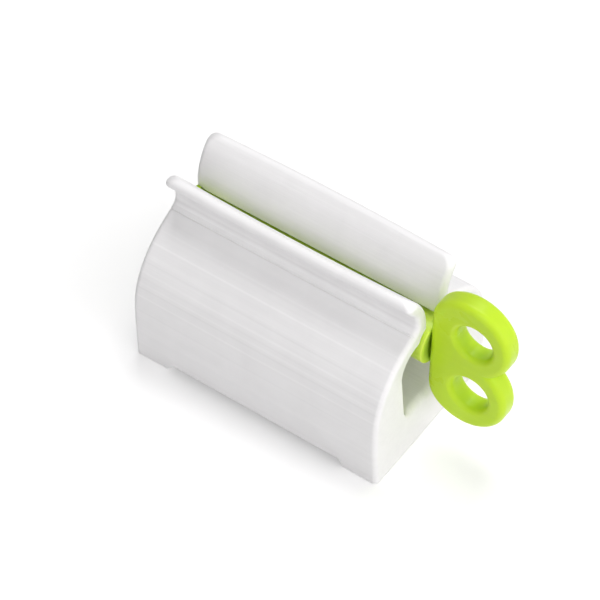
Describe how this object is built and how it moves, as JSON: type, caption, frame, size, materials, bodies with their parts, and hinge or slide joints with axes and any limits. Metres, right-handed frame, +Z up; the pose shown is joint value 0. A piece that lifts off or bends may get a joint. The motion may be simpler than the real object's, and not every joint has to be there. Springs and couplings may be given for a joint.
{
  "type": "toothpaste dispenser",
  "caption": "Stand with curved cheeks and a slot between flared lips; a split shaft turned by a ring-shaped key rolls a toothpaste tube up from its tail.",
  "frame": {"origin": "middle of the whole object's footprint box, on the table", "axes": "+X along the shaft towards the key, +Y from the front to the back, +Z up"},
  "size_m": [0.1108, 0.0566, 0.0619],
  "materials": {
    "body_white": "satin white polypropylene with faint moulding lines",
    "shaft_green": "glossy lime green plastic",
    "key_green": "glossy lime green plastic, slightly translucent",
    "cap_green": "glossy lime green plastic",
    "pad_rubber": "soft pale grey rubber"
  },
  "bodies": {
    "stand": {"body_shell": "body_white", "front_left_pad": "pad_rubber", "front_right_pad": "pad_rubber", "rear_left_pad": "pad_rubber", "rear_right_pad": "pad_rubber"},
    "winder": {"split_shaft": "shaft_green", "winding_key": "key_green", "end_cap": "cap_green"}
  },
  "joints": [
    {"name": "winding", "type": "hinge", "parent": "stand", "child": "winder", "pos_m": [-0.0114, 0, 0.0376], "axis": [1, 0, 0], "continuous": true}
  ]
}
